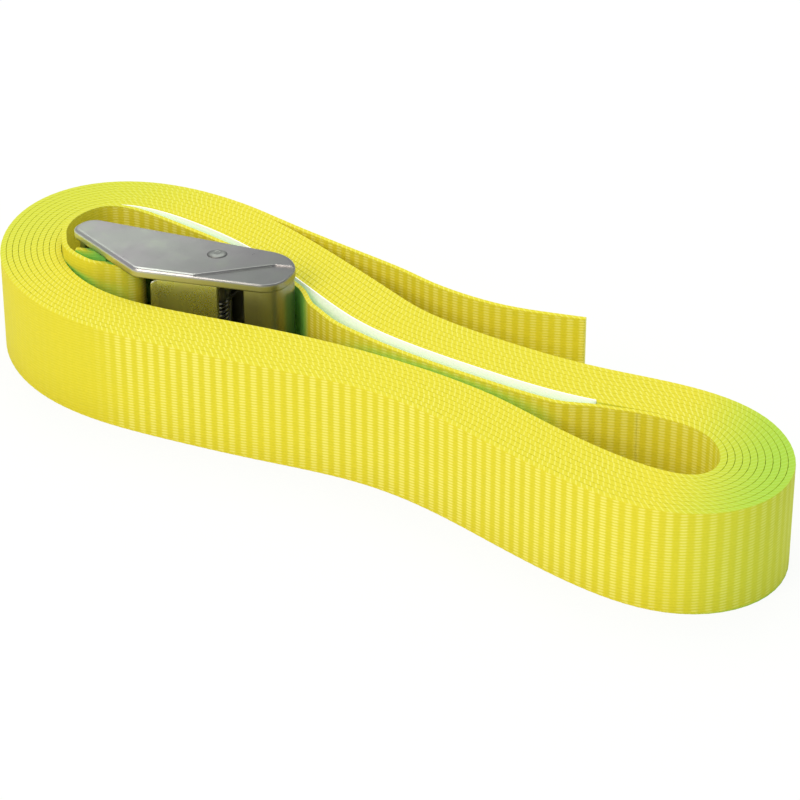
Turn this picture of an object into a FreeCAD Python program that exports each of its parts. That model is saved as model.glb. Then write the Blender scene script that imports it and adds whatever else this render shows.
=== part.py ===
import FreeCAD, Part

import math
import os

from FreeCAD import Vector

# Cam buckle lashing strap, wound up and standing on its edge, in millimetres.
# +X runs along the coil to the right, +Y to its back, +Z up; the coil and the
# buckle stand on z = 0, and the origin is the middle of the footprint.

# ---- webbing -------------------------------------------------------------
WEBBING_WIDTH = 25.0
WEBBING_THICKNESS = 1.35
LAP_STEPS = 96  # straight chords to one lap, the same ones in every lap
END_STEP = 0.12  # of a chord, from a ribbon's end to its next point

# The hollow in the middle of the coil: the poles of a closed uniform cubic
# B-spline, clockwise from the front left, each with the air between two laps
# there: (x, y, air).
HOLLOW = [
    (-93.0, -13.5, 0.15),
    (-104.0, 15.0, 0.20),
    (-72.5, 17.5, 0.48),
    (-46.5, 14.3, 0.24),
    (-18.0, 3.6, 0.54),
    (1.0, -0.7, 0.36),
    (35.5, 1.3, 0.33),
    (59.5, 4.0, 0.50),
    (88.5, 17.5, 0.18),
    (105.0, -9.0, 0.40),
    (61.5, -7.5, 0.20),
    (41.5, -2.5, 0.35),
    (13.5, -3.5, 0.15),
    (-16.0, -9.0, 0.55),
    (-41.0, -17.5, 0.40),
    (-66.5, -25.0, 0.20),
]
COIL_START = 0.46  # laps from the front left, where the slack first run ends
COIL_END = 10.145  # where the free end leaves the coil

# The first run, from the buckle round the left end and along the back, hangs
# slack in the hollow: (laps, how far it stands off the coil).
STANDOFF = [
    (0.0, 0.0),
    (0.05, 1.6),
    (0.14, 1.6),
    (0.20, 0.5),
    (0.222, 0.5),
    (0.248, 2.9),
    (0.272, 3.4),
    (0.30, 2.9),
    (0.415, 2.9),
    (0.445, 0.5),
    (0.46, 0.0),
]
LEAD_START = -0.02  # where the lead from the buckle meets the coil

# The free end, from the coil to its square cut.
TAIL = [
    (-49.0, 33.5),
    (-36.0, 32.9),
    (-19.0, 32.2),
    (-5.5, 30.8),
    (7.0, 31.3),
    (18.0, 33.7),
    (32.9, 39.8),
]

# A blank white strip, folded in between the first run and the coil.
LABEL_THICKNESS = 0.30
LABEL_WIDTH = 25.4
LABEL_START = 5  # chords into the first full lap
LABEL_END = 42
LABEL_CLEARANCE = 0.10

# ---- buckle: a cast channel lying on one cheek -----------------------------
BUCKLE_TURN = 14.7  # degrees about +Z
PIVOT_X = -48.0
PIVOT_Y = -1.2
CHEEK_THICKNESS = 2.4
CHANNEL_WIDTH = WEBBING_WIDTH + 2.2
RIM_RADIUS = 1.0
WALL_THICKNESS = 1.5
WALL_INSET = 0.3

# Corners of the cheek about the pivot, with their radii: (u, v, radius).
CHEEK = [
    (-38.8, 5.2, 4.2),
    (20.7, 8.0, 9.3),
    (21.3, -9.2, 6.0),
    (-14.6, -15.4, 4.0),
    (-39.8, -1.8, 2.9),
]
COIN_DEPTH = 0.4  # shallow step in the cheek beyond its crease
CREASE_START = (0.2, -12.4)
CREASE_BEND = (15.4, 0.9)
CREASE_END = (22.5, 2.6)
WEB_END = 9.0  # the strap goes in between the web and the end wall
END_WALL_BACK = 15.2
END_WALL_FRONT = 12.6
NOSE_WALL_END = 0.7

# ---- pivot rivet, anchor pin, spring ---------------------------------------
PIVOT_DIAMETER = 3.4
RUNNING_CLEARANCE = 0.06
PIVOT_HEAD_DIAMETER = 5.0
PIVOT_HEAD_HEIGHT = 0.6
PIVOT_DIMPLE_DIAMETER = 2.2
PIVOT_DIMPLE_DEPTH = 0.25
ANCHOR_U = -25.0
ANCHOR_V = -6.0
ANCHOR_DIAMETER = 5.0
ANCHOR_SOCKET = 1.6  # depth of its blind socket in the upper cheek
FIT_CLEARANCE = 0.02
LOOP_CLEARANCE = 0.10
LEAD_BEND = (-30.5, -9.9)
PLY_START = 9.0  # where the sewn ply meets the lead, from the pin
PLY_GAP = 0.35
LEAD_SETTLE = 70.0  # run over which the lead comes down to the coil's level
SPRING_WIRE = 0.8
SPRING_TURNS = 7
SPRING_PITCH = 1.1
SPRING_CLEARANCE = 0.25
SPRING_CHORDS = 16  # to one turn
SPRING_SIDES = 8

# ---- cam lever --------------------------------------------------------------
LEVER_GAP = 0.5  # between the lever and each cheek
LEVER_SHEET = 1.5
THUMB_LEFT = (-9.4, -13.0)
THUMB_RIGHT = (5.4, -10.5)
THUMB_LIP = 1.6
THUMB_CORNER = 3.0
BOSS_RADIUS = 4.1
JAW_CLEARANCE = 0.40  # between the longest tooth and the web
JAW_THICKNESS = 1.1
JAW_FROM = 60.0
JAW_PEAK = 100.0
JAW_TO = 140.0
JAW_FALL = 0.024  # mm of radius lost per degree on the side that opens
JAW_BACK_FALL = 0.012  # and per degree behind the peak
TOOTH_COUNT = 8
TOOTH_DEPTH = 0.55

BUCKLE_HEIGHT = CHANNEL_WIDTH + 2 * CHEEK_THICKNESS
LEAD_LIFT = (BUCKLE_HEIGHT - WEBBING_WIDTH) / 2
PIVOT_RADIUS = PIVOT_DIAMETER / 2


# ---- shared helpers ---------------------------------------------------------
def save(shape, name):
    """Writes one node, after its shape has been checked."""
    if not (shape.isValid() and shape.isClosed()):
        raise ValueError(name + " is not a valid closed shape")
    shape.exportStep("parts/" + name + ".step")
    print(name, len(shape.Solids), "solid(s)", round(shape.Volume, 1), "mm3")


def buckle_to_part(shape):
    """Moves a shape from the buckle's own frame (u, v, z about the pivot) to the part."""
    turned = shape.copy()
    turned.rotate(Vector(0, 0, 0), Vector(0, 0, 1), BUCKLE_TURN)
    turned.translate(Vector(PIVOT_X, PIVOT_Y, 0))
    return turned


def buckle_point(u, v):
    """A plan point of the buckle's frame, in the part's frame."""
    turn = math.radians(BUCKLE_TURN)
    x = PIVOT_X + u * math.cos(turn) - v * math.sin(turn)
    y = PIVOT_Y + u * math.sin(turn) + v * math.cos(turn)
    return (x, y)


def rounded_outline(corners):
    """A closed wire of straight edges whose corners (u, v, radius) are rounded."""
    rounds = []
    count = len(corners)
    for i in range(count):
        here = Vector(corners[i][0], corners[i][1], 0)
        radius = corners[i][2]
        before = (Vector(corners[i - 1][0], corners[i - 1][1], 0) - here).normalize()
        following = corners[(i + 1) % count]
        after = (Vector(following[0], following[1], 0) - here).normalize()
        half = before.getAngle(after) / 2
        reach = radius / math.tan(half)
        middle = (before + after).normalize()
        centre = here + middle * (radius / math.sin(half))
        rounds.append((here + before * reach, centre - middle * radius, here + after * reach))
    edges = []
    for i in range(count):
        start, top, end = rounds[i]
        edges.append(Part.Arc(start, top, end).toShape())
        edges.append(Part.makeLine(end, rounds[(i + 1) % count][0]))
    return Part.Wire(edges)


def plate(wire, low, high):
    """A flat plate of a closed outline, from z = low to z = high."""
    face = Part.Face(wire)
    face.translate(Vector(0, 0, low))
    return face.extrude(Vector(0, 0, high - low))


def polygon(points):
    """A closed wire of straight edges through plan points."""
    corners = [Vector(u, v, 0) for u, v in points]
    return Part.makePolygon(corners + corners[:1])


def upright(radius, low, high, u=0.0, v=0.0):
    """A cylinder along z."""
    return Part.makeCylinder(radius, high - low, Vector(u, v, low))


# ---- webbing ----------------------------------------------------------------
def hollow_at(laps):
    """Point, outward normal and air between laps, on the hollow's B-spline."""
    count = len(HOLLOW)
    s = (laps % 1.0) * count
    first = int(s)
    t = s - first
    u = 1 - t
    weights = [u**3 / 6, 2 / 3 - t**2 + t**3 / 2, 2 / 3 - u**2 + u**3 / 2, t**3 / 6]
    slopes = [-(u**2) / 2, 1.5 * t**2 - 2 * t, 2 * u - 1.5 * u**2, t**2 / 2]
    poles = [HOLLOW[(first + k - 1) % count] for k in range(4)]
    x, y, air = [sum(w * pole[i] for w, pole in zip(weights, poles)) for i in range(3)]
    dx, dy = [sum(w * pole[i] for w, pole in zip(slopes, poles)) for i in range(2)]
    length = math.hypot(dx, dy)
    return x, y, -dy / length, dx / length, air


def ease(t):
    """0 to 1 with level ends, as t goes from 0 to 1."""
    t = min(1.0, max(0.0, t))
    return t * t * (3 - 2 * t)


def wound(laps, depth=0.0):
    """Middle of the webbing after so many laps; depth moves it into the hollow."""
    x, y, nx, ny, air = hollow_at(laps)
    out = laps * (WEBBING_THICKNESS + air) + WEBBING_THICKNESS / 2 - depth
    return (x + nx * out, y + ny * out)


def first_run_depth(laps):
    """How far the first run stands off the coil, after so many laps."""
    for (start, low), (end, high) in zip(STANDOFF, STANDOFF[1:]):
        if laps < end:
            return low + (high - low) * ease((laps - start) / (end - start))
    return STANDOFF[-1][1]


def smooth_route(points, step=2.0):
    """Points of a Catmull-Rom curve through a few plan points."""
    ends = [points[0]] + list(points) + [points[-1]]
    route = []
    for i in range(1, len(ends) - 2):
        a, b, c, d = ends[i - 1], ends[i], ends[i + 1], ends[i + 2]
        pieces = max(2, round(math.dist(b, c) / step))
        for k in range(pieces):
            t = k / pieces
            route.append(
                tuple(
                    b[j]
                    + (c[j] - a[j]) * t / 2
                    + (2 * a[j] - 5 * b[j] + 4 * c[j] - d[j]) * t**2 / 2
                    + (3 * b[j] - a[j] - 3 * c[j] + d[j]) * t**3 / 2
                    for j in range(2)
                )
            )
    route.append(tuple(points[-1]))
    return route


def rails(route, thickness):
    """The two long edges of a strap along a plan route, as lists of (x, y)."""
    left = []
    right = []
    for i, (x, y) in enumerate(route):
        before = route[max(i - 1, 0)]
        after = route[min(i + 1, len(route) - 1)]
        length = math.dist(before, after)
        nx = -(after[1] - before[1]) / length * thickness / 2
        ny = (after[0] - before[0]) / length * thickness / 2
        left.append((x + nx, y + ny))
        right.append((x - nx, y - ny))
    return left, right


def ribbon(route, width, thickness):
    """A strap standing on edge along a plan route."""
    left, right = rails(route, thickness)
    return plate(polygon(left + right[::-1]), 0, width)


def skin(rings):
    """A solid through rings of points, one after another, with a flat cap on each end."""
    faces = []
    count = len(rings[0])
    edges = [[Part.makeLine(ring[k], ring[(k + 1) % count]) for k in range(count)] for ring in rings]
    for here, ahead in zip(edges, edges[1:]):
        for low, high in zip(here, ahead):
            faces.append(Part.makeRuledSurface(low, high))
    for end in (0, -1):
        faces.append(Part.Face(Part.makePolygon(rings[end] + rings[end][:1])))
    shell = Part.makeShell(faces)
    shell.sewShape()
    solid = Part.makeSolid(shell)
    if solid.Volume < 0:
        solid.reverse()
    return solid


def sloping_ribbon(route, lows, width, thickness):
    """A strap on edge along a plan route, its lower edge at the heights lows."""
    rings = []
    for (x0, y0), (x1, y1), low in zip(*rails(route, thickness), lows):
        high = low + width
        rings.append([Vector(x0, y0, low), Vector(x1, y1, low), Vector(x1, y1, high), Vector(x0, y0, high)])
    return skin(rings)


def lap_range(start, end):
    """Laps from start to end on the grid all laps share, with a short step that squares each end."""
    short = END_STEP / LAP_STEPS
    first = math.ceil((start + 2 * short) * LAP_STEPS)
    last = math.floor((end - 2 * short) * LAP_STEPS)
    return [start, start + short] + [k / LAP_STEPS for k in range(first, last + 1)] + [end - short, end]


def round_pin():
    """The strap's way round the anchor pin, from its back to its front."""
    radius = ANCHOR_DIAMETER / 2 + LOOP_CLEARANCE + WEBBING_THICKNESS / 2
    turns = [math.radians(angle) for angle in range(120, -91, -30)]
    return [buckle_point(ANCHOR_U + radius * math.cos(t), ANCHOR_V + radius * math.sin(t)) for t in turns]


def lead_route():
    """From the end of the sewn ply, round the anchor pin, to the start of the first run."""
    pin = round_pin()
    ends = [buckle_point(*LEAD_BEND), wound(LEAD_START), wound(0.0)]
    lead = smooth_route([pin[-1]] + ends)
    sewn = [point for point in lead if math.dist(point, pin[-1]) > PLY_START]
    ply = rails(sewn, 2 * (WEBBING_THICKNESS + PLY_GAP))[1][::-2]
    between = ((ply[-1][0] + pin[0][0]) / 2, (ply[-1][1] + pin[0][1]) / 2)
    return smooth_route(ply + [between] + pin + ends)


def make_lead():
    """The buckle end of the strap: the sewn eye, the lead, and the slack first run."""
    lead = lead_route()
    run = [wound(laps, first_run_depth(laps)) for laps in lap_range(0.0, COIL_START)]
    travelled = [0.0]
    for a, b in zip(run, run[1:]):
        travelled.append(travelled[-1] + math.dist(a, b))
    lows = [LEAD_LIFT] * (len(lead) - 1)
    lows += [LEAD_LIFT * (1 - ease(way / LEAD_SETTLE)) for way in travelled]
    return sloping_ribbon(lead[:-1] + run, lows, WEBBING_WIDTH, WEBBING_THICKNESS)


def make_coil():
    """The wound strap, one ribbon from the first run to the free end."""
    route = [wound(laps) for laps in lap_range(COIL_START, COIL_END)]
    return ribbon(route, WEBBING_WIDTH, WEBBING_THICKNESS)


def make_tail():
    """The free end, which stands off the back of the coil."""
    before = wound(COIL_END - 1.0 / LAP_STEPS)
    route = smooth_route([before, wound(COIL_END)] + TAIL)
    start = min(range(len(route)), key=lambda i: math.dist(route[i], wound(COIL_END)))
    route = route[start:]
    return ribbon(route, WEBBING_WIDTH, WEBBING_THICKNESS)


def make_label():
    """A blank strip on the inner face of the coil's first full lap."""
    inward = WEBBING_THICKNESS / 2 + LABEL_CLEARANCE + LABEL_THICKNESS / 2
    route = [wound(1 + k / LAP_STEPS, inward) for k in range(LABEL_START, LABEL_END + 1)]
    return ribbon(route, LABEL_WIDTH, LABEL_THICKNESS)


# ---- buckle -----------------------------------------------------------------
def web_line(u):
    """v of the cheek's straight back edge at u."""
    (u0, v0, _), (u1, v1, _) = CHEEK[0], CHEEK[1]
    return v0 + (v1 - v0) * (u - u0) / (u1 - u0)


def web_inside():
    """v of the web's inner face beside the pivot."""
    return web_line(0.0) - WALL_INSET - WALL_THICKNESS


def make_cheek(low, coin_up):
    """One cheek: a plate with a rounded rim and a creased step in its outer face."""
    cheek = plate(rounded_outline(CHEEK), low, low + CHEEK_THICKNESS)
    outer = low + CHEEK_THICKNESS if coin_up else low
    boxes = [(edge, edge.BoundBox) for edge in cheek.Edges]
    rim = [edge for edge, box in boxes if abs(box.ZMin - outer) < 0.01 and abs(box.ZMax - outer) < 0.01]
    cheek = cheek.makeFillet(RIM_RADIUS, rim)
    coin = polygon([CREASE_START, CREASE_BEND, CREASE_END, (30, 2), (30, -20), (0.2, -20)])
    if coin_up:
        tool = plate(coin, outer - COIN_DEPTH, outer + 1)
    else:
        tool = plate(coin, outer - 1, outer + COIN_DEPTH)
    return cheek.cut(tool)


def make_frame():
    """The cast channel: two cheeks, the web behind and a curved wall at each end."""
    low = CHEEK_THICKNESS
    high = BUCKLE_HEIGHT - CHEEK_THICKNESS
    outline = rounded_outline(CHEEK)
    outside = outline.makeOffset2D(-WALL_INSET)
    inside = outline.makeOffset2D(-WALL_INSET - WALL_THICKNESS)
    walls = plate(outside, low, high).cut(plate(inside, low, high))
    nose = [(-60, NOSE_WALL_END), (-30, NOSE_WALL_END)]
    front = polygon(nose + [(END_WALL_FRONT, -5), (END_WALL_FRONT, -25), (-60, -25)])
    walls = walls.cut(plate(front, low, high))
    entry = polygon([(WEB_END, 0), (END_WALL_BACK, 0), (END_WALL_BACK, 15), (WEB_END, 15)])
    walls = walls.cut(plate(entry, low, high))
    frame = walls.fuse([make_cheek(0.0, False), make_cheek(high, True)])
    pivot_hole = upright(PIVOT_RADIUS + FIT_CLEARANCE, -1, BUCKLE_HEIGHT + 1)
    anchor_top = high + ANCHOR_SOCKET + FIT_CLEARANCE
    anchor_hole = upright(ANCHOR_DIAMETER / 2 + FIT_CLEARANCE, -1, anchor_top, ANCHOR_U, ANCHOR_V)
    return frame.cut([pivot_hole, anchor_hole]).removeSplitter()


def dome(radius, height, face):
    """A low dome on the plane z = face."""
    ball = (radius**2 + height**2) / (2 * height)
    sphere = Part.makeSphere(ball, Vector(0, 0, face + height - ball))
    return sphere.common(upright(radius + 1, face, face + height + 1))


def make_pivot_rivet():
    """The rivet through both cheeks: flush below, a dimpled dome on top."""
    rivet = upright(PIVOT_RADIUS, 0, BUCKLE_HEIGHT)
    rivet = rivet.fuse(dome(PIVOT_HEAD_DIAMETER / 2, PIVOT_HEAD_HEIGHT, BUCKLE_HEIGHT))
    floor = BUCKLE_HEIGHT + PIVOT_HEAD_HEIGHT - PIVOT_DIMPLE_DEPTH
    wide = PIVOT_DIMPLE_DIAMETER / 2
    punch = Part.makeCone(wide - PIVOT_DIMPLE_DEPTH, wide, PIVOT_DIMPLE_DEPTH, Vector(0, 0, floor))
    return rivet.cut(punch)


def make_anchor_pin():
    """The pin that carries the sewn eye, driven in from below to a blind socket."""
    top = BUCKLE_HEIGHT - CHEEK_THICKNESS + ANCHOR_SOCKET
    return upright(ANCHOR_DIAMETER / 2, 0, top, ANCHOR_U, ANCHOR_V)


# ---- cam lever --------------------------------------------------------------
def jaw_radius(angle):
    """Radius over the tooth tips at an angle about the pivot."""
    peak = web_inside() - JAW_CLEARANCE
    if angle < JAW_PEAK:
        return peak - JAW_FALL * (JAW_PEAK - angle)
    return peak - JAW_BACK_FALL * (angle - JAW_PEAK)


def jaw_wire():
    """The toothed sector: inner arc concentric with the pivot, saw teeth outside."""
    inner = jaw_radius(JAW_PEAK) - TOOTH_DEPTH - JAW_THICKNESS
    pitch = (JAW_TO - JAW_FROM) / TOOTH_COUNT
    points = []
    for k in range(TOOTH_COUNT):
        start = JAW_FROM + k * pitch
        for angle, drop in ((start, TOOTH_DEPTH), (start + 0.25 * pitch, 0.0)):
            radius = jaw_radius(angle) - drop
            turn = math.radians(angle)
            points.append(Vector(radius * math.cos(turn), radius * math.sin(turn), 0))
    ends = [math.radians(JAW_TO), math.radians((JAW_FROM + JAW_TO) / 2), math.radians(JAW_FROM)]
    last = jaw_radius(JAW_TO) - TOOTH_DEPTH
    points.append(Vector(last * math.cos(ends[0]), last * math.sin(ends[0]), 0))
    arc = [Vector(inner * math.cos(a), inner * math.sin(a), 0) for a in ends]
    edges = [Part.makeLine(a, b) for a, b in zip(points, points[1:])]
    edges.append(Part.makeLine(points[-1], arc[0]))
    edges.append(Part.Arc(arc[0], arc[1], arc[2]).toShape())
    edges.append(Part.makeLine(arc[2], points[0]))
    return Part.Wire(edges)


def sheet_wire(points, thickness):
    """Section of bent sheet: open corners through plan points, mitred on the left side."""
    directions = [Vector(b[0] - a[0], b[1] - a[1], 0).normalize() for a, b in zip(points, points[1:])]
    normals = [Vector(-d.y, d.x, 0) for d in directions]
    far = []
    for i, (u, v) in enumerate(points):
        before = normals[max(i - 1, 0)]
        after = normals[min(i, len(normals) - 1)]
        mitre = (before + after).normalize()
        reach = mitre * (thickness / mitre.dot(after))
        far.append((u + reach.x, v + reach.y))
    return polygon(list(points) + far[::-1])


def thumb_wire():
    """Section of the thumb plate: a flat with a lip turned out at its free edge."""
    lip = (THUMB_LEFT[0] - THUMB_LIP * 0.8, THUMB_LEFT[1] - THUMB_LIP * 0.6)
    return sheet_wire([lip, THUMB_LEFT, THUMB_RIGHT], LEVER_SHEET)


def thumb_corner(end, inward):
    """What the rounded corner of the thumb plate's free edge leaves out, at z = end."""
    left = THUMB_LEFT[0] - 2 * THUMB_LIP
    deep = 6 * LEVER_SHEET
    front = THUMB_LEFT[1] - deep / 2
    right = THUMB_LEFT[0] - 0.8 * THUMB_LIP - LEVER_SHEET * 0.6 + THUMB_CORNER
    low = min(end, end + inward * THUMB_CORNER)
    block = Part.makeBox(right - left, deep, THUMB_CORNER, Vector(left, front, low))
    centre = Vector(right, front, end + inward * THUMB_CORNER)
    return block.cut(Part.makeCylinder(THUMB_CORNER, deep, centre, Vector(0, 1, 0)))


def make_lever():
    """The cam lever: thumb plate, two ears on the pivot and the toothed jaw."""
    low = CHEEK_THICKNESS + LEVER_GAP
    high = BUCKLE_HEIGHT - CHEEK_THICKNESS - LEVER_GAP
    lever = plate(thumb_wire(), low, high)
    for corner in (low, high):
        lever = lever.cut(thumb_corner(corner, 1 if corner == low else -1))
    lever = lever.fuse(plate(jaw_wire(), low, high))
    for bottom in (low, high - LEVER_SHEET):
        top = bottom + LEVER_SHEET
        arm = polygon(
            [
                (THUMB_LEFT[0] + 0.8, THUMB_LEFT[1] + 0.6),
                (THUMB_RIGHT[0], THUMB_RIGHT[1] + 0.2),
                (BOSS_RADIUS * 0.98, -0.8),
                (-BOSS_RADIUS * 0.93, 1.6),
            ]
        )
        lever = lever.fuse([plate(arm, bottom, top), upright(BOSS_RADIUS, bottom, top)])
    bore = upright(PIVOT_RADIUS + RUNNING_CLEARANCE, -1, BUCKLE_HEIGHT + 1)
    return lever.cut(bore).removeSplitter()


def thumb_inside(u):
    """v of the thumb plate's inner face at u."""
    (u0, v0), (u1, v1) = THUMB_LEFT, THUMB_RIGHT
    slope = (v1 - v0) / (u1 - u0)
    return v0 + slope * (u - u0) + LEVER_SHEET * math.hypot(1, slope)


def make_spring():
    """The torsion spring round the rivet, one leg on the web and one on the lever."""
    radius = PIVOT_RADIUS + SPRING_CLEARANCE + SPRING_WIRE / 2
    height = SPRING_TURNS * SPRING_PITCH
    bottom = Vector(radius, 0, (BUCKLE_HEIGHT - height) / 2)
    top = bottom + Vector(0, 0, height)
    rise = SPRING_PITCH / (2 * math.pi * radius)
    along = Vector(0, 1, rise).normalize()
    seat = SPRING_WIRE / 2 + RUNNING_CLEARANCE
    lever_end = bottom - along * ((-thumb_inside(radius) - seat) / along.y)
    web_end = top + along * ((web_inside() - seat) / along.y)
    path = [lever_end]
    for k in range(SPRING_TURNS * SPRING_CHORDS + 1):
        turn = 2 * math.pi * k / SPRING_CHORDS
        level = bottom.z + SPRING_PITCH * k / SPRING_CHORDS
        path.append(Vector(radius * math.cos(turn), radius * math.sin(turn), level))
    path.append(web_end)
    rings = []
    for i, point in enumerate(path):
        way = (path[min(i + 1, len(path) - 1)] - path[max(i - 1, 0)]).normalize()
        out = way.cross(Vector(0, 0, 1)).normalize() * (SPRING_WIRE / 2)
        up = out.cross(way)
        turns = [2 * math.pi * k / SPRING_SIDES for k in range(SPRING_SIDES)]
        rings.append([point + out * math.cos(a) + up * math.sin(a) for a in turns])
    return skin(rings)


def main():
    os.makedirs("parts", exist_ok=True)
    save(buckle_to_part(make_frame()), "buckle_frame")
    save(buckle_to_part(make_lever()), "cam_lever")
    save(buckle_to_part(make_pivot_rivet()), "pivot_rivet")
    save(buckle_to_part(make_anchor_pin()), "anchor_pin")
    save(buckle_to_part(make_spring()), "torsion_spring")
    save(make_lead(), "webbing_lead")
    save(make_coil(), "webbing_coil")
    save(make_tail(), "webbing_tail")
    save(make_label(), "label_strip")


main()
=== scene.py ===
import math

import bpy
import numpy as np
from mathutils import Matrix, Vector


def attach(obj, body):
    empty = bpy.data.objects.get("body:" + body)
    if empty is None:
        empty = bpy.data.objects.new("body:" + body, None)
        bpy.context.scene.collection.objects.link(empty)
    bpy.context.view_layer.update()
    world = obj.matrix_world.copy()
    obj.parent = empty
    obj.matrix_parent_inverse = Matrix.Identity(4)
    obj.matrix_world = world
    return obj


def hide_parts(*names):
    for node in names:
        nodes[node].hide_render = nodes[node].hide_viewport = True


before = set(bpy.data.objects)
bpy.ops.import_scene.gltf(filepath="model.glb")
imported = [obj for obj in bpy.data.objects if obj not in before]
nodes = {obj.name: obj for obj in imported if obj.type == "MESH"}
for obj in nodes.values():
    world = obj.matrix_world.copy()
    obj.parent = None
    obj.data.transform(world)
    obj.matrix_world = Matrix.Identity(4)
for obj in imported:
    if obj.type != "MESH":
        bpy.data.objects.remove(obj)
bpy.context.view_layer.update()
MM = 0.001


# ---- yellow webbing ----------------------------------------------------------
# The strap is polyester webbing, 25 mm wide, woven with ribs across it and with
# rolled selvedges. It is one length, wound into an oval coil round its buckle,
# and it is drawn through the same curves as its solids, in millimetres.
WEBBING_WIDTH = 25.0
WEBBING_THICKNESS = 1.35
RIB_PITCH = 3.0
RIB_RELIEF = 0.05
RING_STEP = RIB_PITCH / 4  # between the rings of points that a strap is made of
SELVEDGE = 0.16  # how far in from the edge the webbing begins to round
SELVEDGE_TOP = 0.93  # of its thickness, which is left at the very edge
AIR_FILLED = 0.98  # of the air between laps, which the soft webbing swells into
SWELL_FADE = 12.0  # mm of strap over which that ends, where it leaves the coil
YARN_PITCH = 0.72  # between the picks seen on a rib
YARN_SLANT = -0.08  # of the picks, across for each millimetre along
EDGE_PITCH = 1.5  # between the yarn loops of a selvedge
EDGE_SLANT = 0.8
UV_UNIT = 100.0  # millimetres of webbing to one unit of its UV map

HOLLOW = [
    (-93.0, -13.5, 0.15),
    (-104.0, 15.0, 0.20),
    (-72.5, 17.5, 0.48),
    (-46.5, 14.3, 0.24),
    (-18.0, 3.6, 0.54),
    (1.0, -0.7, 0.36),
    (35.5, 1.3, 0.33),
    (59.5, 4.0, 0.50),
    (88.5, 17.5, 0.18),
    (105.0, -9.0, 0.40),
    (61.5, -7.5, 0.20),
    (41.5, -2.5, 0.35),
    (13.5, -3.5, 0.15),
    (-16.0, -9.0, 0.55),
    (-41.0, -17.5, 0.40),
    (-66.5, -25.0, 0.20),
]
COIL_START = 0.46
COIL_END = 10.145
STANDOFF = [  # of the slack first run: laps, and how far it hangs off the coil
    (0.0, 0.0),
    (0.05, 1.6),
    (0.14, 1.6),
    (0.20, 0.5),
    (0.222, 0.5),
    (0.248, 2.9),
    (0.272, 3.4),
    (0.30, 2.9),
    (0.415, 2.9),
    (0.445, 0.5),
    (0.46, 0.0),
]
LEAD_START = -0.02
LEAD_LIFT = 3.5
LEAD_SETTLE = 48.0
TAIL = [
    (-49.0, 33.5),
    (-36.0, 32.9),
    (-19.0, 32.2),
    (-5.5, 30.8),
    (7.0, 31.3),
    (18.0, 33.7),
    (32.9, 39.8),
]
LABEL_THICKNESS = 0.30
LABEL_WIDTH = 25.4
LABEL_START = 0.0521
LABEL_END = 0.4375
LABEL_CLEARANCE = 0.10
LABEL_RISE = 0.3  # it stands this much proud of the coil at its left end
LABEL_SETTLE = 110.0
LAP_STEP = 0.002  # laps between the points that a route is measured on


def hollow_at(laps):
    """Point, outward normal and air between laps, on the coil's inner hollow."""
    count = len(HOLLOW)
    s = (laps % 1.0) * count
    first = int(s)
    t = s - first
    u = 1 - t
    weights = [u**3 / 6, 2 / 3 - t**2 + t**3 / 2, 2 / 3 - u**2 + u**3 / 2, t**3 / 6]
    slopes = [-(u**2) / 2, 1.5 * t**2 - 2 * t, 2 * u - 1.5 * u**2, t**2 / 2]
    poles = [HOLLOW[(first + k - 1) % count] for k in range(4)]
    x, y, air = [sum(w * pole[i] for w, pole in zip(weights, poles)) for i in range(3)]
    dx, dy = [sum(w * pole[i] for w, pole in zip(slopes, poles)) for i in range(2)]
    length = math.hypot(dx, dy)
    return x, y, -dy / length, dx / length, air


def ease(t):
    """0 to 1 with level ends, as t goes from 0 to 1."""
    t = min(1.0, max(0.0, t))
    return t * t * (3 - 2 * t)


def wound(laps, depth=0.0):
    """Middle of the webbing after so many laps; depth moves it into the hollow."""
    x, y, nx, ny, air = hollow_at(laps)
    out = laps * (WEBBING_THICKNESS + air) + WEBBING_THICKNESS / 2 - depth
    return (x + nx * out, y + ny * out)


def first_run_depth(laps):
    """How far the slack first run stands off the coil, after so many laps."""
    for (start, low), (end, high) in zip(STANDOFF, STANDOFF[1:]):
        if laps < end:
            return low + (high - low) * ease((laps - start) / (end - start))
    return STANDOFF[-1][1]


def through(points, step):
    """Points of a Catmull-Rom curve through plan points."""
    ends = [points[0]] + list(points) + [points[-1]]
    route = []
    for a, b, c, d in zip(ends, ends[1:], ends[2:], ends[3:]):
        pieces = max(2, round(math.dist(b, c) / step))
        for k in range(pieces):
            t = k / pieces
            route.append(
                [
                    b[j]
                    + (c[j] - a[j]) * t / 2
                    + (2 * a[j] - 5 * b[j] + 4 * c[j] - d[j]) * t**2 / 2
                    + (3 * b[j] - a[j] - 3 * c[j] + d[j]) * t**3 / 2
                    for j in range(2)
                ]
            )
    return route + [list(points[-1])]


def lap_range(start, end):
    """Closely spaced laps from start to end."""
    return np.linspace(start, end, max(2, round((end - start) / LAP_STEP)))


def travelled(route):
    """Distance along a route at each of its points."""
    route = np.array(route)
    return np.concatenate([[0.0], np.cumsum(np.linalg.norm(np.diff(route, axis=0), axis=1))])


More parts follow.
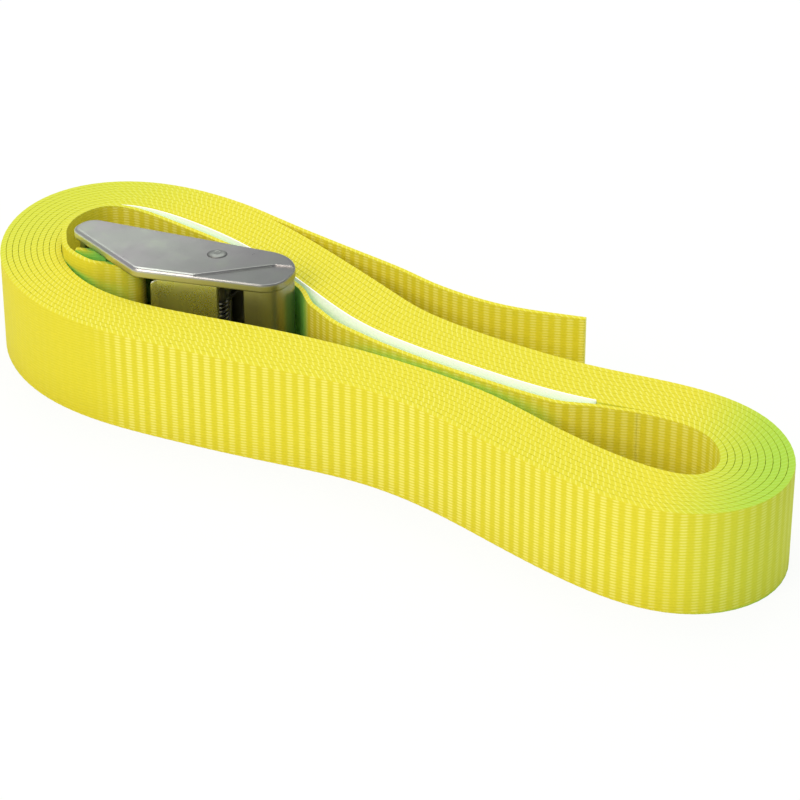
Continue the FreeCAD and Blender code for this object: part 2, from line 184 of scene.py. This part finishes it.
def ribbon(name, route, lows, width, thickness, relief=0.0, from_mm=0.0, step=RING_STEP):
    """A strap on edge: rings of points along a plan route, with a UV map along and around it.

    lows and thickness are given at each point of the route, and from_mm is how much of
    the strap lies before this piece, so that ribs run on from piece to piece."""
    route = np.array(route, float)
    way = travelled(route)
    count = max(2, round(way[-1] / step)) + 1
    at = np.linspace(0, way[-1], count)
    middle = np.stack([np.interp(at, way, route[:, i]) for i in range(2)], 1)
    slope = np.gradient(middle, at, axis=0)
    slope /= np.linalg.norm(slope, axis=1)[:, None]
    normal = np.stack([-slope[:, 1], slope[:, 0]], 1)
    low = np.interp(at, way, lows)
    along = at + from_mm
    groove = (np.cos(along * 2 * math.pi / RIB_PITCH) - 1) / 2
    half = np.interp(at, way, thickness) / 2 + relief * groove
    edge = min(SELVEDGE, half.min())
    heights = (edge, width / 3, 2 * width / 3, width - edge)
    climb = [(-SELVEDGE_TOP, 0.0)] + [(-1.0, up) for up in heights] + [(-SELVEDGE_TOP, width)]
    profile = climb + [(-side, up) for side, up in climb[::-1]]
    rings = []
    for side, up in profile:
        plan = middle + normal * (side * half)[:, None]
        rings.append(np.column_stack([plan, low + up]))
    points = np.stack(rings, 1).reshape(-1, 3) * MM
    sides = len(profile)
    faces = []
    for i in range(count - 1):
        a, b = i * sides, (i + 1) * sides
        faces += [(a + k, a + (k + 1) % sides, b + (k + 1) % sides, b + k) for k in range(sides)]
    faces.append(tuple(range(sides - 1, -1, -1)))
    faces.append(tuple((count - 1) * sides + k for k in range(sides)))
    mesh = bpy.data.meshes.new(name)
    mesh.from_pydata(points.tolist(), [], faces)
    piece = bpy.data.objects.new(name, mesh)
    bpy.context.scene.collection.objects.link(piece)
    section = [(side * half.mean(), up) for side, up in profile]
    around = travelled(section + section[:1])
    uv = np.zeros((len(mesh.loops), 2))
    walls = uv[: 4 * sides * (count - 1)].reshape(count - 1, sides, 4, 2)
    walls[..., 0] = np.stack([along[:-1], along[:-1], along[1:], along[1:]], 1)[:, None, :]
    walls[..., 1] = np.stack([around[:-1], around[1:], around[1:], around[:-1]], 1)[None]
    mesh.uv_layers.new(name="webbing").data.foreach_set("uv", (uv / UV_UNIT).ravel())
    broad = [k in (1, 2, 3, 7, 8, 9) for k in range(sides)]  # the selvedges stay flat
    mesh.polygons.foreach_set("use_smooth", broad * (count - 1) + [False, False])
    mesh.update()
    return piece


class Wire:
    """A value on a node tree's wire, so that its maths reads as Python."""

    def __init__(self, owner, socket):
        self.owner = owner
        self.socket = socket

    def maths(self, operation, *values):
        return self.owner.node("ShaderNodeMath", {"operation": operation}, *values)

    def __add__(self, other):
        return self.maths("ADD", self, other)

    def __sub__(self, other):
        return self.maths("SUBTRACT", self, other)

    def __rsub__(self, other):
        return self.maths("SUBTRACT", other, self)

    def __mul__(self, other):
        return self.maths("MULTIPLY", self, other)

    def __mod__(self, other):
        return self.maths("FLOORED_MODULO", self, other)

    def __abs__(self):
        return self.maths("ABSOLUTE", self)

    __radd__ = __add__
    __rmul__ = __mul__

    def cosine(self, pitch):
        """A wave between -1 and 1."""
        return self.maths("COSINE", self * (2 * math.pi / pitch))

    def wave(self, pitch):
        """A wave between 0 and 1."""
        return self.cosine(pitch) * 0.5 + 0.5

    def ramp(self, low, high):
        """0 at low and 1 at high, clamped and eased between."""
        settings = {"interpolation_type": "SMOOTHSTEP"}
        return self.owner.node("ShaderNodeMapRange", settings, self, low, high, 0.0, 1.0)


class Nodes:
    """The node tree of a material or a world, which nodes are added to."""

    def __init__(self, block):
        block.use_nodes = True
        self.tree = block.node_tree

    def node(self, kind, settings, *values, out=0):
        """Adds a node: its settings first, then a value or a wire for each of its sockets."""
        node = self.tree.nodes.new(kind)
        for key, value in settings.items():
            setattr(node, key, value)
        for socket, value in zip([s for s in node.inputs if s.enabled], values):
            self.join(value, socket)
        return Wire(self, [s for s in node.outputs if s.enabled][out])

    def join(self, value, socket):
        if isinstance(value, Wire):
            self.tree.links.new(value.socket, socket)
        elif value is not None:
            socket.default_value = value

    def show(self, surface, output):
        self.join(surface, self.tree.nodes[output].inputs["Surface"])


class Finish(Nodes):
    """A material on one Principled BSDF, whose fixed numbers are given by socket name."""

    def __init__(self, name, **fixed):
        self.material = bpy.data.materials.new(name)
        super().__init__(self.material)
        self.bsdf = self.tree.nodes["Principled BSDF"]
        for socket, value in fixed.items():
            self.bsdf.inputs[socket.replace("_", " ")].default_value = value

    def give(self, **wires):
        for socket, wire in wires.items():
            self.join(wire, self.bsdf.inputs[socket.replace("_", " ")])
        return self.material

    def place(self, source="Object"):
        """Wires for x, y and z of a place on the piece, or of its UV map."""
        where = self.tree.nodes.new("ShaderNodeTexCoord").outputs[source]
        split = self.tree.nodes.new("ShaderNodeSeparateXYZ")
        self.tree.links.new(where, split.inputs[0])
        return Wire(self, where), [Wire(self, s) for s in split.outputs]

    def noise(self, where, scale, detail=2.0, roughness=0.5):
        return self.node("ShaderNodeTexNoise", {}, where, scale, detail, roughness)

    def mix(self, factor, a, b):
        return self.node("ShaderNodeMix", {"data_type": "RGBA"}, factor, a, b)

    def bump(self, height, depth, strength=1.0, edge=0.0):
        """A normal from a height; edge rounds the piece's sharp edges, in metres."""
        node = self.tree.nodes.new("ShaderNodeBump")
        if edge:
            self.join(self.node("ShaderNodeBevel", {"samples": 6}, edge), node.inputs["Normal"])
        node.inputs["Strength"].default_value = strength
        node.inputs["Distance"].default_value = depth
        self.join(height, node.inputs["Height"])
        return Wire(self, node.outputs["Normal"])


YELLOW = (0.72, 0.59, 0.026, 1.0)
# YELLOW_PALE is painted highlight on the crowns of ribs, picks and selvedge loops
YELLOW_PALE = (0.90, 0.80, 0.22, 1.0)
# YELLOW_DEEP is random mottle and painted shade between the picks
YELLOW_DEEP = (0.63, 0.53, 0.018, 1.0)
# GREEN and GREEN_PALE are the colours of painted shade
GREEN = (0.10, 0.52, 0.06, 1.0)
GREEN_PALE = (0.17, 0.74, 0.14, 1.0)
BEND_LEFT, BEND_RIGHT = (0.078, 0.096), (0.084, 0.110)  # metres out to where the ribs pull flat
BEND_RIGHT_MOST = 0.3  # at the right end they do so much less
RIBS_FLATTENED = 0.9
PAINTED_SHADE_RIGHT, PAINTED_SHADE_LEFT = (0.084, 0.114), (0.070, 0.114)  # and out to where painted shade makes the ends greener
FUZZ_SCALE, CLOUD_SCALE = 1500.0, 60.0  # of the noise, per metre
SHADE_RAMP = (0.4, 0.85)  # shares of the sky hidden, from where the painted green shade begins to its full
WEAVE_DEPTH = 0.12 * MM


def webbing_finish(name, own_shade, shade_reach, shade_most, shade_colour):
    """Woven yarn: ribs across the strap, slanted picks on them, and looped selvedges, with painted
    highlights on their crowns.

    The colour is painted green as shade where a piece is occluded within some reach,
    by itself only or by all others too."""
    finish = Finish(name, Roughness=0.65, Specular_IOR_Level=0.2)
    _, (along, around, _) = finish.place("UV")
    along = along * UV_UNIT
    around = around * UV_UNIT
    where, (x, y, _) = finish.place()
    fuzz = finish.noise(where, FUZZ_SCALE, 2.0, 0.6)
    cloud = finish.noise(where, CLOUD_SCALE, 2.0, 0.5)
    # face is 1 on the two broad sides of the webbing and 0 on its selvedges
    turn = WEBBING_WIDTH + WEBBING_THICKNESS
    face = 1.0 - (abs(around % turn - WEBBING_WIDTH / 2) - WEBBING_WIDTH / 2).ramp(-0.5, 0.1)
    edge = 1.0 - face
    bend = (x * -1.0 - y).ramp(*BEND_LEFT) + x.ramp(*BEND_RIGHT) * BEND_RIGHT_MOST
    rib = along.wave(RIB_PITCH).ramp(0.1, 0.95) * (1.0 - bend * RIBS_FLATTENED)
    pick = (around + along * YARN_SLANT).wave(YARN_PITCH)
    loop = (along + around * EDGE_SLANT).wave(EDGE_PITCH)
    # painted highlight on the crowns of the ribs and picks and on the selvedge loops, fading
    # towards the coil's ends
    crown_highlight = face * (rib * 0.85 + 0.15) * (pick * 0.75 + 0.25) + edge * loop.ramp(0.6, 1.0) * 0.6
    crown_highlight = crown_highlight * (cloud * 0.8 + 0.6)
    # random mottle, with painted shade between the picks on the broad faces
    mottle_and_groove_shade = (fuzz + cloud * 0.5).ramp(0.45, 1.0) * 0.4 + face * (1.0 - pick) * 0.35
    colour = finish.mix(mottle_and_groove_shade, YELLOW, YELLOW_DEEP)
    colour = finish.mix(crown_highlight.ramp(0.05, 1.0) * 0.65, colour, YELLOW_PALE)
    # painted shade: greener towards the right end, most on the selvedges, and on the left end's
    # selvedges
    right = (x + y * 0.5).ramp(*PAINTED_SHADE_RIGHT) * (0.55 - face * 0.35)
    left = (x * -1.0).ramp(*PAINTED_SHADE_LEFT) * (0.2 - face * 0.2)
    colour = finish.mix(left, finish.mix(right, colour, GREEN), GREEN)
    # painted shade: green mixed in where the sky is hidden nearby
    settings = {"samples": 8, "only_local": own_shade}
    open_sky = finish.node("ShaderNodeAmbientOcclusion", settings, None, shade_reach, out=1)
    shade = (1.0 - open_sky).ramp(*SHADE_RAMP) * shade_most
    colour = finish.mix(shade, colour, shade_colour)
    height = face * (rib * 0.3 + pick * 0.4) + edge * loop * 0.25 + fuzz * 0.25
    return finish.give(Base_Color=colour, Normal=finish.bump(height, WEAVE_DEPTH, 0.6))


webbing_material = webbing_finish(
    "yellow_webbing",
    own_shade=True,
    shade_reach=7.0 * MM,
    shade_most=0.35,
    shade_colour=GREEN,
)
# the lead's copy of the webbing, with stronger, paler painted shade cast by every piece near it
inner_material = webbing_finish(
    "yellow_webbing_inner",
    own_shade=False,
    shade_reach=12.0 * MM,
    shade_most=0.85,
    shade_colour=GREEN_PALE,
)

coil_laps = lap_range(COIL_START, COIL_END)
coil_route = [wound(laps) for laps in coil_laps]
coil_swell = [
    WEBBING_THICKNESS + AIR_FILLED * hollow_at(laps)[4] * ease(way / SWELL_FADE)
    for laps, way in zip(coil_laps, travelled(coil_route))
]
on_floor = [0.0] * len(coil_route)
coil = ribbon("strap_coil", coil_route, on_floor, WEBBING_WIDTH, coil_swell, RIB_RELIEF)
coil_length = travelled(coil_route)[-1]

# the tail's curve starts a little before the coil's end, and is cut where that end is
tail_route = through([coil_route[-8], coil_route[-1]] + TAIL, 1.0)
from_coil = [math.dist(point, coil_route[-1]) for point in tail_route]
tail_route = tail_route[from_coil.index(min(from_coil)) :]
tail_way = travelled(tail_route)
tail_length = tail_way[-1]
last_swell = coil_swell[-1] - WEBBING_THICKNESS
tail_swell = [WEBBING_THICKNESS + last_swell * (1 - ease(way / SWELL_FADE)) for way in tail_way]
on_floor = [0.0] * len(tail_route)
tail = ribbon(
    "strap_tail", tail_route, on_floor, WEBBING_WIDTH, tail_swell, RIB_RELIEF, coil_length
)


# ---- sewn eye and lead -------------------------------------------------------
# The buckle end of the strap goes round the anchor pin and is sewn to itself. The
# lead then leaves the buckle at the front left, raised to the middle of the
# channel, and comes down to the coil's level on its way round the left end.
BUCKLE_TURN = math.radians(14.7)
PIVOT = (-48.0, -1.2)
ANCHOR = (-25.0, -6.0)
ANCHOR_RADIUS = 2.5
LOOP_CLEARANCE = 0.10
LEAD_BEND = (-30.5, -9.9)
EYE_SLACK = 4.0  # the sewn eye is this much longer than the pin needs
EYE_TURNS = range(120, -91, -30)  # degrees, from the eye's back to its front
PLY_START = 9.0  # the sewn ply keeps this far from the pin
PLY_END = 9.0  # and this far from the lead's end
PLY_GAP = 0.35


def buckle_point(u, v):
    """A plan point of the buckle's own frame, in the strap's."""
    c, s = math.cos(BUCKLE_TURN), math.sin(BUCKLE_TURN)
    return (PIVOT[0] + u * c - v * s, PIVOT[1] + u * s + v * c)


def lead_route():
    """From the end of the sewn ply, round the anchor pin, to the start of the first run."""
    radius = ANCHOR_RADIUS + LOOP_CLEARANCE + WEBBING_THICKNESS / 2
    turns = [math.radians(angle) for angle in EYE_TURNS]
    loose = [EYE_SLACK * max(0.0, math.cos(t)) for t in turns]
    pin = [
        buckle_point(ANCHOR[0] + radius * math.cos(t) + slack, ANCHOR[1] + radius * math.sin(t))
        for t, slack in zip(turns, loose)
    ]
    ends = [buckle_point(*LEAD_BEND), wound(LEAD_START), wound(0.0)]
    lead = through([pin[-1]] + ends, 2.0)
    sewn = np.array(
        [p for p in lead if math.dist(p, pin[-1]) > PLY_START and math.dist(p, ends[-1]) > PLY_END]
    )
    slope = np.gradient(sewn, axis=0)
    slope /= np.linalg.norm(slope, axis=1)[:, None]
    aside = np.stack([slope[:, 1], -slope[:, 0]], 1) * (WEBBING_THICKNESS + PLY_GAP)
    ply = (sewn + aside)[::-2].tolist()
    between = [(a + b) / 2 for a, b in zip(ply[-1], pin[0])]
    return through(ply + [between] + pin + ends, 0.5)


lead_points = lead_route()
run_points = [wound(laps, first_run_depth(laps)) for laps in lap_range(0.0, COIL_START)]
lead_lows = [LEAD_LIFT] * (len(lead_points) - 1)
lead_lows += [LEAD_LIFT * (1 - ease(way / LEAD_SETTLE)) for way in travelled(run_points)]
lead_all = lead_points[:-1] + run_points
lead_length = travelled(lead_all)[-1]
lead_thick = [WEBBING_THICKNESS] * len(lead_all)
lead = ribbon(
    "strap_lead", lead_all, lead_lows, WEBBING_WIDTH, lead_thick, RIB_RELIEF, -lead_length
)

for piece, node, material, length, rests in (
    (coil, "webbing_coil", webbing_material, coil_length, "floor"),
    (tail, "webbing_tail", webbing_material, tail_length, "floor"),
    (lead, "webbing_lead", inner_material, lead_length, "anchor_pin"),
):
    piece.data.materials.append(material)
    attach(piece, "strap")
    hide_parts(node)


# ---- blank label strip -------------------------------------------------------
# A strip of white woven tape, folded in between the first run and the coil. It
# is plain: nothing is printed on it.
LABEL_RING_STEP = 1.5
LABEL_THREADS = (0.4, 0.6)  # millimetres between its threads across and along
LABEL_GRAIN_SCALE = 160.0
LABEL_WHITE, LABEL_WHITEST = (0.93, 0.88, 0.90, 1.0), (0.99, 0.95, 0.97, 1.0)

inward = WEBBING_THICKNESS / 2 + LABEL_CLEARANCE + LABEL_THICKNESS / 2
label_route = [wound(laps + 1.0, inward) for laps in lap_range(LABEL_START, LABEL_END)]
label_lows = [LABEL_RISE * (1 - ease(way / LABEL_SETTLE)) for way in travelled(label_route)]
label_thick = [LABEL_THICKNESS] * len(label_route)
label = ribbon(
    "blank_label", label_route, label_lows, LABEL_WIDTH, label_thick, step=LABEL_RING_STEP
)

label_finish = Finish(
    "white_label",
    Roughness=0.7,
    Specular_IOR_Level=0.3,
    # the weak emission is a painted glow, keeping the strip white where it lies in shade
    Emission_Color=(1.0, 0.94, 0.95, 1.0),
    Emission_Strength=0.16,
)
where, (along, across, _) = label_finish.place("UV")
grain = label_finish.noise(where, LABEL_GRAIN_SCALE, 3.0, 0.6)
label_colour = label_finish.mix(grain.ramp(0.3, 0.7), LABEL_WHITE, LABEL_WHITEST)
threads_across, threads_along = [pitch / UV_UNIT for pitch in LABEL_THREADS]
threads = across.cosine(threads_across) * along.cosine(threads_along)
label.data.materials.append(
    label_finish.give(Base_Color=label_colour, Normal=label_finish.bump(threads, 0.04 * MM, 0.5))
)
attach(label, "strap")
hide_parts("label_strip")


# ---- buckle, lever, pins and spring ------------------------------------------
# A zinc alloy casting with a satin, faintly iridescent plating, a lever of the
# same make, a darker rivet, and a bright plated pin and spring.
EDGE_ROUND = 0.5 * MM
DARK_REFLECTION_FROM, DARK_REFLECTION_TO = -0.078, -0.022  # metres along the buckle, over which a painted darker reflection grows to its right
SCRATCH_TURN, SCRATCH_STRETCH = (0, 0, 0.5), (1.0, 0.06, 1.0)
PATCH_SCALE, SCRATCH_SCALE, GRAIN_SCALE = 150.0, 2600.0, 1400.0
GRAIN_DEPTH = 0.02 * MM
LILAC = (0.72, 0.68, 0.69, 1.0)
GREY = (0.63, 0.64, 0.60, 1.0)
PALE_GREEN = (0.66, 0.70, 0.60, 1.0)
DARK_STEEL = (0.20, 0.20, 0.20, 1.0)


def metal_finish(name, tints, roughness, scratches, painted_dark_reflection=0.0):
    """Plated metal: cloudy tints, fine scratches one way, and a grain that breaks the gloss.

    Its colour is darkened by this share towards its right end, as a painted darker reflection."""
    finish = Finish(name, Metallic=1.0)
    where, (x, _, _) = finish.place()
    cloud = finish.noise(where, CLOUD_SCALE, 3.0, 0.55)
    patch = finish.noise(where, PATCH_SCALE, 4.0, 0.6)
    colour = finish.mix(cloud.ramp(0.35, 0.65), tints[0], tints[1])
    colour = finish.mix(patch.ramp(0.52, 0.72) * 0.7, colour, tints[2])
    # painted reflection: darker towards the right end
    colour = finish.mix(x.ramp(DARK_REFLECTION_FROM, DARK_REFLECTION_TO) * painted_dark_reflection, colour, DARK_STEEL)
    still = (0, 0, 0)
    stretched = finish.node("ShaderNodeMapping", {}, where, still, SCRATCH_TURN, SCRATCH_STRETCH)
    scratch = finish.noise(stretched, SCRATCH_SCALE, 2.0, 0.7)
    grain = finish.noise(where, GRAIN_SCALE, 3.0, 0.7)
    # these three noises average 0.17 together
    rough = cloud * 0.14 + patch * 0.12 + scratch * 0.08 + (roughness - 0.17)
    height = scratch * scratches + grain * 0.6
    normal = finish.bump(height, GRAIN_DEPTH, 0.6, EDGE_ROUND)
    return finish.give(Base_Color=colour, Roughness=rough, Normal=normal)


frame_metal = metal_finish("zinc_frame", (LILAC, GREY, PALE_GREEN), 0.32, 0.7, painted_dark_reflection=0.8)
lever_metal = metal_finish("zinc_lever", (GREY, PALE_GREEN, LILAC), 0.28, 0.4)
rivet_metal = metal_finish("rivet_steel", (DARK_STEEL, GREY, DARK_STEEL), 0.50, 0.3)
bright_metal = metal_finish("bright_steel", (LILAC, (0.62, 0.61, 0.62, 1.0), GREY), 0.24, 0.3)
for node, material in (
    ("buckle_frame", frame_metal),
    ("cam_lever", lever_metal),
    ("pivot_rivet", rivet_metal),
    ("anchor_pin", bright_metal),
    ("torsion_spring", bright_metal),
):
    nodes[node].data.materials.clear()
    nodes[node].data.materials.append(material)


# ---- stage -------------------------------------------------------------------
# A plain white floor, a white surround, and soft lamps.
FLOOR_SIZE = 40.0
FLOOR_GLOW = 0.9  # share of the floor that the camera sees as plain white
CAMERA_RAY, GLOSSY_RAY = 0, 3  # outputs of a light path

bpy.ops.mesh.primitive_plane_add(size=FLOOR_SIZE, location=(0, 0, 0))
floor = bpy.context.active_object
floor.name = "floor"
floor_finish = Finish("white_floor", Base_Color=(0.86, 0.86, 0.84, 1.0), Roughness=0.9)
seen = floor_finish.node("ShaderNodeLightPath", {}, out=CAMERA_RAY) * FLOOR_GLOW
lit = Wire(floor_finish, floor_finish.bsdf.outputs[0])
glow = floor_finish.node("ShaderNodeEmission", {}, (1.0, 1.0, 1.0, 1.0), 1.0)
floor_surface = floor_finish.node("ShaderNodeMixShader", {}, seen, lit, glow)
floor_finish.show(floor_surface, "Material Output")
floor.data.materials.append(floor_finish.material)

world = bpy.data.worlds.new("surround")
bpy.context.scene.world = world
sky = Nodes(world)
lights = sky.node("ShaderNodeBackground", {}, (0.85, 1.0, 0.90, 1.0), 0.80)
mirrored = sky.node("ShaderNodeBackground", {}, (0.95, 0.97, 1.0, 1.0), 0.42)
backdrop = sky.node("ShaderNodeBackground", {}, (1.0, 1.0, 1.0, 1.0), 1.0)
glossy_ray = sky.node("ShaderNodeLightPath", {}, out=GLOSSY_RAY)
camera_ray = sky.node("ShaderNodeLightPath", {}, out=CAMERA_RAY)
around_all = sky.node("ShaderNodeMixShader", {}, glossy_ray, lights, mirrored)
sky.show(sky.node("ShaderNodeMixShader", {}, camera_ray, around_all, backdrop), "World Output")


def aim_from(thing, place, aim):
    """Puts a lamp or camera at a place, turned to look at another."""
    thing.location = place
    thing.rotation_euler = (Vector(place) - Vector(aim)).to_track_quat("Z", "Y").to_euler()


def lamp(name, place, size, power, colour, gloss):
    """A square soft lamp, aimed at the origin; gloss is how strongly shiny surfaces show it."""
    data = bpy.data.lights.new(name, "AREA")
    data.shape = "SQUARE"
    data.size = size
    data.energy = power
    data.color = colour
    data.specular_factor = gloss
    made = bpy.data.objects.new(name, data)
    aim_from(made, place, (0, 0, 0))
    bpy.context.scene.collection.objects.link(made)


lamp("key", (0.04, -0.95, 0.72), size=0.6, power=6.3, colour=(1.0, 0.90, 0.80), gloss=1.0)
lamp("top", (-0.3, 0.35, 0.9), size=0.8, power=4.8, colour=(0.94, 1.0, 0.90), gloss=0.4)

camera_data = bpy.data.cameras.new("camera")
camera_data.lens = 135.0
camera_data.sensor_width = 36.0
camera = bpy.data.objects.new("camera", camera_data)
aim_from(camera, (0.4074, -0.4751, 0.3458), (-0.0044, 0.0157, 0.0))
bpy.context.scene.collection.objects.link(camera)
bpy.context.scene.camera = camera

bpy.context.scene.view_settings.view_transform = "Standard"
